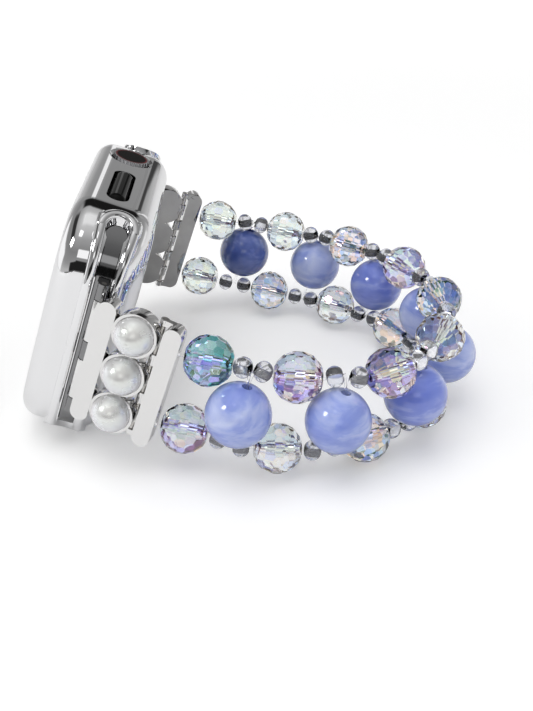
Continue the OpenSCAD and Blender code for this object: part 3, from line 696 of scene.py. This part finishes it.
def cut_crystal():
    """One drilled crystal along z: four rows of facets on each half, flat ends and a bore."""
    form = bmesh.new()
    bmesh.ops.create_cube(form, size=2 * CRYSTAL_RADIUS)
    for latitude, number, shift in FACET_ROWS:
        rise = math.radians(latitude)
        for index in range(number):
            turn = (index + shift) * 2 * math.pi / number
            out = Vector((math.cos(turn), math.sin(turn), 0)) * math.cos(rise)
            for side in ((1, -1) if latitude else (1,)):
                cut_flat(form, out + Vector((0, 0, side * math.sin(rise))), CRYSTAL_RADIUS * FACET_DEPTH)
    for side in (1, -1):
        cut_flat(form, Vector((0, 0, side)), CRYSTAL_HALF_LENGTH)
    ends = [face for face in form.faces if abs(face.normal.z) > SAME_FACING]
    rims = [list(face.edges) for face in ends]
    heights = [face.calc_center_median().z for face in ends]
    bmesh.ops.delete(form, geom=ends, context="FACES_ONLY")
    holes = []
    for rim, height in zip(rims, heights):
        ring = bmesh.ops.create_circle(
            form, cap_ends=False, segments=BORE_SIDES, radius=CRYSTAL_BORE_RADIUS,
            matrix=Matrix.Translation((0, 0, height)))
        edges = list(dict.fromkeys(edge for vert in ring["verts"] for edge in vert.link_edges))
        bmesh.ops.bridge_loops(form, edges=rim + edges)
        holes.append(edges)
    wall = bmesh.ops.bridge_loops(form, edges=holes[0] + holes[1])
    for face in wall["faces"]:
        face.material_index = 1
    bmesh.ops.recalc_face_normals(form, faces=form.faces)
    mesh = bpy.data.meshes.new("cut_crystal")
    form.to_mesh(mesh)
    form.free()
    return mesh


def dress_crystal(name, pattern, order):
    """A cut crystal in place of a packed one, turned on its cord by its own amount."""
    row, number = name.split("_crystal_")
    joint = joints[f"crystal_{row}_{number}_spin"]
    low, high = (Vector(corner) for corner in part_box(name))
    turn = Vector(joint["axis"]).to_track_quat("Z", "Y").to_matrix().to_4x4()
    mesh = pattern.copy()
    mesh.name = f"cut_{name}"
    own_turn = Matrix.Rotation(order * CORD_TURN, 4, "Z")
    mesh.transform(Matrix.Translation((low + high) / 2) @ turn @ own_turn)
    mesh.materials.append(CRYSTAL_FILMS.get(name, clear_crystal))
    mesh.materials.append(bore_wall)
    bead = bpy.data.objects.new(f"cut_{name}", mesh)
    scene.collection.objects.link(bead)
    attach(bead, joint["child"])
    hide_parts(name)


crystal_pattern = cut_crystal()
for order, name in enumerate(CRYSTALS):
    dress_crystal(name, crystal_pattern, order)
bpy.data.meshes.remove(crystal_pattern)


# Raised half-round rims round the strap slots
WATCH_RIGHT = Vector(joints["crown_turn"]["axis"]).normalized()
WATCH_OUT = Vector(joints["release_press_6"]["axis"]).normalized()
WATCH_ALONG = WATCH_OUT.cross(WATCH_RIGHT)
WATCH_CENTRE = (Vector(joints["crown_turn"]["pos_m"]) - WATCH_RIGHT * 19.5 * MM
                - WATCH_ALONG * 9.5 * MM - WATCH_OUT * 3.5 * MM)
SLOT_CENTRE = 18.75 * MM
SLOT_RISE = 2.0 * MM
SLOT_RADIUS = 1.75 * MM
SLOT_MOUTH = 2.5 * MM
COVER_HALF_WIDTH = 19.2 * MM
COVER_HALF_LENGTH = 22.0 * MM
COVER_CORNER = 7.0 * MM
RIM_GAP = 0.85 * MM
RIM_RADIUS = 0.8 * MM
RIM_SINK = {"6": 0.3 * MM, "12": 0.75 * MM}


def cover_tree():
    """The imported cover's surface, for rays that find it."""
    form = bmesh.new()
    form.from_mesh(nodes["case_cover"].data)
    tree = BVHTree.FromBMesh(form)
    form.free()
    return tree


def watch_point(right, along, out):
    """A place in the watch's own axes: to its crown side, to its 12 o'clock end, to the wrist."""
    return WATCH_CENTRE + WATCH_RIGHT * right + WATCH_ALONG * along + WATCH_OUT * out


def rim_rays(side):
    """Rays on to the cover along one slot's edge: up the end face, round the slot and down again."""
    reach = 40 * MM
    half = SLOT_RADIUS + RIM_GAP
    mouth = SLOT_MOUTH / 2 + RIM_GAP
    corner_right = COVER_HALF_WIDTH - COVER_CORNER
    corner_along = side * (COVER_HALF_LENGTH - COVER_CORNER)
    rays = []
    for lift in (1, -1):
        leg = []
        for step in range(10):
            start = watch_point((-16 + 3 * step) * MM, side * reach, SLOT_RISE + lift * mouth)
            leg.append((start, -side * WATCH_ALONG))
        for step in range(1, 7):
            angle = math.radians(step * 90 / 7)
            away = WATCH_RIGHT * math.sin(angle) + WATCH_ALONG * side * math.cos(angle)
            out = SLOT_RISE + lift * (mouth + (half - mouth) * step / 7)
            leg.append((watch_point(corner_right, corner_along, out) + away * reach, -away))
        rays.append(leg)
    arch = []
    for step in range(13):
        angle = math.pi / 2 - step * math.pi / 12
        along = side * (SLOT_CENTRE - half * math.cos(angle))
        arch.append((watch_point(reach, along, SLOT_RISE + half * math.sin(angle)), -WATCH_RIGHT))
    return rays[0] + arch + rays[1][::-1]


def make_slot_rim(end, side, tree):
    """Round bar along one slot's edge, half sunk into the cover."""
    name = f"slot_rim_{end}"
    curve = bpy.data.curves.new(name, "CURVE")
    curve.dimensions = "3D"
    curve.bevel_depth = RIM_RADIUS
    curve.bevel_resolution = 4
    curve.use_fill_caps = True
    curve.resolution_u = 6
    points = []
    for start, way in rim_rays(side):
        hit = tree.ray_cast(start, way)[0]
        points.append(hit + way * RIM_SINK[end])
    line = curve.splines.new("NURBS")
    line.points.add(len(points) - 1)
    for point, place in zip(line.points, points):
        point.co = (*place, 1)
    line.order_u = 3
    line.use_endpoint_u = True
    curve.materials.append(mirror_plating)
    rim = bpy.data.objects.new(name, curve)
    scene.collection.objects.link(rim)
    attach(rim, "watch")


cover_surface = cover_tree()
for end, side in (("6", -1), ("12", 1)):
    make_slot_rim(end, side, cover_surface)


def smooth_cord(name):
    """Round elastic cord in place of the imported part's straight-sided one."""
    form = bmesh.new()
    form.from_mesh(nodes[name].data)
    bmesh.ops.remove_doubles(form, verts=form.verts, dist=WELD_DISTANCE)
    for face in form.faces:
        face.smooth = True
    mesh = bpy.data.meshes.new(f"round_{name}")
    form.to_mesh(mesh)
    form.free()
    mesh.materials.append(elastic)
    cord = bpy.data.objects.new(f"round_{name}", mesh)
    scene.collection.objects.link(cord)
    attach(cord, "strap")
    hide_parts(name)


for name in CORDS:
    smooth_cord(name)


# Stage: floor, world, lamps and the cards that the chrome shows
FLOOR_HALF_SIDE = 3.0
STAGE_MIDDLE = Vector((-0.015, -0.01, 0.02))
LAMP_TARGET = Vector((0, 0, 0.012))


def white_for_camera(tree, shader, target):
    """Adds plain white where the camera looks straight, or through glass, at the surface."""
    path = add(tree, "ShaderNodeLightPath")
    seen = add(tree, "ShaderNodeMath", operation="MAXIMUM")
    glow = add(tree, "ShaderNodeEmission")
    blank = add(tree, "ShaderNodeEmission")
    blank.inputs["Strength"].default_value = 0.0
    pick = add(tree, "ShaderNodeMixShader")
    both = add(tree, "ShaderNodeAddShader")
    link = tree.links.new
    link(path.outputs["Is Camera Ray"], seen.inputs[0])
    link(path.outputs["Is Transmission Ray"], seen.inputs[1])
    link(seen.outputs["Value"], pick.inputs["Fac"])
    link(blank.outputs["Emission"], pick.inputs[1])
    link(glow.outputs["Emission"], pick.inputs[2])
    link(shader.outputs[0], both.inputs[0])
    link(pick.outputs["Shader"], both.inputs[1])
    link(both.outputs["Shader"], target)
    return glow


def make_floor():
    """White floor that keeps the object's shadow, brighter with the distance."""
    form = bmesh.new()
    bmesh.ops.create_grid(form, x_segments=1, y_segments=1, size=FLOOR_HALF_SIDE)
    mesh = bpy.data.meshes.new("floor")
    form.to_mesh(mesh)
    form.free()
    floor = bpy.data.objects.new("floor", mesh)
    scene.collection.objects.link(floor)
    material, tree, shader = new_material(
        "white_sweep", Roughness=0.9, Base_Color=(0.86, 0.86, 0.86, 1))
    shader.inputs["Specular IOR Level"].default_value = 0.1
    glow = white_for_camera(tree, shader, tree.nodes["Material Output"].inputs["Surface"])
    coords = add(tree, "ShaderNodeTexCoord")
    reach = add(tree, "ShaderNodeVectorMath", operation="LENGTH")
    far = add(tree, "ShaderNodeMapRange", interpolation_type="SMOOTHSTEP")
    for label, value in (("From Min", 0.12), ("From Max", 0.9), ("To Min", 0.22), ("To Max", 0.8)):
        far.inputs[label].default_value = value
    tree.links.new(coords.outputs["Object"], reach.inputs[0])
    tree.links.new(reach.outputs["Value"], far.inputs["Value"])
    tree.links.new(far.outputs["Result"], glow.inputs["Strength"])
    mesh.materials.append(material)


def make_world():
    """White for the camera, even light for the object, a dim room for metal, pale for glass."""
    world = bpy.data.worlds.new("studio")
    scene.world = world
    world.use_nodes = True
    tree = world.node_tree
    tree.nodes.clear()
    out = add(tree, "ShaderNodeOutputWorld")
    path = add(tree, "ShaderNodeLightPath")
    plain = add(tree, "ShaderNodeBackground", Color=(1, 1, 1, 1), Strength=1.0)
    even = add(tree, "ShaderNodeBackground", Color=(1, 1, 1, 1), Strength=0.55)
    room = add(tree, "ShaderNodeBackground")
    coords = add(tree, "ShaderNodeTexCoord")
    parts = add(tree, "ShaderNodeSeparateXYZ")
    height = ramp(tree, [
        (0.0, (0.5, 0.5, 0.5)), (0.2, (0.3, 0.3, 0.3)), (0.5, (0.22, 0.22, 0.22)),
        (0.8, (0.35, 0.35, 0.35)), (1.0, (0.6, 0.6, 0.6)),
    ])
    glossy = add(tree, "ShaderNodeMixShader")
    bright = add(tree, "ShaderNodeBackground")
    bright.inputs["Color"].default_value = (0.85, 0.85, 0.86, 1)
    through = add(tree, "ShaderNodeMixShader")
    pick = add(tree, "ShaderNodeMixShader")
    link = tree.links.new
    link(coords.outputs["Generated"], parts.inputs["Vector"])
    link(parts.outputs["Z"], height.inputs["Fac"])
    link(height.outputs["Color"], room.inputs["Color"])
    link(path.outputs["Is Glossy Ray"], glossy.inputs["Fac"])
    link(path.outputs["Is Transmission Ray"], through.inputs["Fac"])
    link(even.outputs["Background"], glossy.inputs[1])
    link(room.outputs["Background"], glossy.inputs[2])
    link(path.outputs["Is Camera Ray"], pick.inputs["Fac"])
    link(glossy.outputs["Shader"], through.inputs[1])
    link(bright.outputs["Background"], through.inputs[2])
    link(through.outputs["Shader"], pick.inputs[1])
    link(plain.outputs["Background"], pick.inputs[2])
    link(pick.outputs["Shader"], out.inputs["Surface"])


def aim(item, place, target):
    """Puts a lamp or a card at a place and turns its face to a target."""
    item.location = place
    item.rotation_euler = (Vector(target) - Vector(place)).to_track_quat("-Z", "Y").to_euler()


def make_lamp(name, place, size, power):
    """A soft lamp for the object that its metal doesn't show."""
    light = bpy.data.lights.new(name, "AREA")
    light.shape = "RECTANGLE"
    light.size, light.size_y = size
    light.energy = power
    lamp = bpy.data.objects.new(name, light)
    scene.collection.objects.link(lamp)
    lamp.visible_glossy = False
    aim(lamp, place, LAMP_TARGET)


def make_card(name, azimuth, elevation, distance, width, height, shade, soft=0.25):
    """A soft-edged card that only metal, gloss and glass show.

    Azimuth 0 is behind the object and 90 at its right; sizes are in metres.
    """
    turn = math.radians(azimuth)
    rise = math.radians(elevation)
    away = Vector((math.sin(turn) * math.cos(rise), math.cos(turn) * math.cos(rise), math.sin(rise)))
    form = bmesh.new()
    bmesh.ops.create_grid(form, x_segments=1, y_segments=1, size=0.5)
    bmesh.ops.scale(form, vec=(width, height, 1), verts=form.verts)
    mesh = bpy.data.meshes.new(name)
    form.to_mesh(mesh)
    form.free()
    card = bpy.data.objects.new(name, mesh)
    scene.collection.objects.link(card)
    aim(card, STAGE_MIDDLE + away * distance, STAGE_MIDDLE)
    material = bpy.data.materials.new(name)
    material.use_nodes = True
    tree = material.node_tree
    tree.nodes.clear()
    out = add(tree, "ShaderNodeOutputMaterial")
    coords = add(tree, "ShaderNodeTexCoord")
    size = add(tree, "ShaderNodeVectorMath", operation="DIVIDE")
    size.inputs[1].default_value = (width / 2, height / 2, 1.0)
    length = add(tree, "ShaderNodeVectorMath", operation="ABSOLUTE")
    sides = add(tree, "ShaderNodeSeparateXYZ")
    glow = add(tree, "ShaderNodeEmission", Strength=1.0)
    glow.inputs["Color"].default_value = (shade, shade, shade, 1)
    clear = add(tree, "ShaderNodeBsdfTransparent")
    pick = add(tree, "ShaderNodeMixShader")
    cover = add(tree, "ShaderNodeMath", operation="MULTIPLY")
    link = tree.links.new
    link(coords.outputs["Object"], size.inputs[0])
    link(size.outputs["Vector"], length.inputs[0])
    link(length.outputs["Vector"], sides.inputs["Vector"])
    for index, side in enumerate(("X", "Y")):
        fade = add(tree, "ShaderNodeMapRange", interpolation_type="SMOOTHSTEP")
        fade.inputs["From Min"].default_value = 1.0
        fade.inputs["From Max"].default_value = 1.0 - soft
        link(sides.outputs[side], fade.inputs["Value"])
        link(fade.outputs["Result"], cover.inputs[index])
    link(cover.outputs["Value"], pick.inputs["Fac"])
    link(clear.outputs["BSDF"], pick.inputs[1])
    link(glow.outputs["Emission"], pick.inputs[2])
    link(pick.outputs["Shader"], out.inputs["Surface"])
    mesh.materials.append(material)
    card.visible_camera = False
    card.visible_diffuse = False
    card.visible_shadow = False


make_floor()
make_world()
make_lamp("top_softbox", (-0.1, -0.1, 0.75), (0.6, 0.6), 2.2)
make_lamp("left_softbox", (-0.6, -0.25, 0.35), (0.35, 0.5), 1.0)
make_lamp("right_fill", (0.6, -0.3, 0.4), (0.4, 0.4), 0.5)
make_card("small_highlight", -114, 40, 0.6, 0.14, 0.14, 14.0)
make_card("table_edge", -162, -11, 0.42, 0.9, 0.17, 0.01, 0.25)
make_card("camera_side", -170, 5, 0.7, 0.9, 0.3, 0.015, 0.25)
make_card("camera_softbox", 180, 28, 0.7, 0.34, 0.2, 1.0, 0.3)
make_card("upper_softbox", -156, 64, 0.7, 0.2, 0.16, 1.6, 0.5)
make_card("left_backdrop", -70, 2, 0.7, 0.7, 0.5, 1.0, 0.3)
make_card("left_gap", -80, 46, 0.68, 0.7, 0.26, 0.03, 0.5)
make_card("back_left_streak", -5, 11, 0.66, 0.12, 0.52, 0.9, 0.5)
make_card("back_streak", 10, 11, 0.64, 0.04, 0.5, 0.25, 0.5)
make_card("back_gap", 16, 11, 0.65, 0.06, 0.5, 0.05, 0.6)
make_card("back_right_streak", 25, 11, 0.64, 0.05, 0.5, 0.8, 0.6)
make_card("back_band", 34, 11, 0.68, 0.12, 0.5, 0.3, 0.5)
make_card("back_shade", 5, 44, 0.6, 0.7, 0.34, 0.01, 0.35)
make_card("right_low", 62, 0, 0.7, 0.5, 0.16, 0.8, 0.5)
make_card("right_gap", 140, 20, 0.66, 0.3, 0.4, 0.02, 0.5)
make_card("ceiling", 0, 86, 0.8, 0.5, 0.5, 0.8, 0.6)

scene.view_settings.view_transform = "Standard"
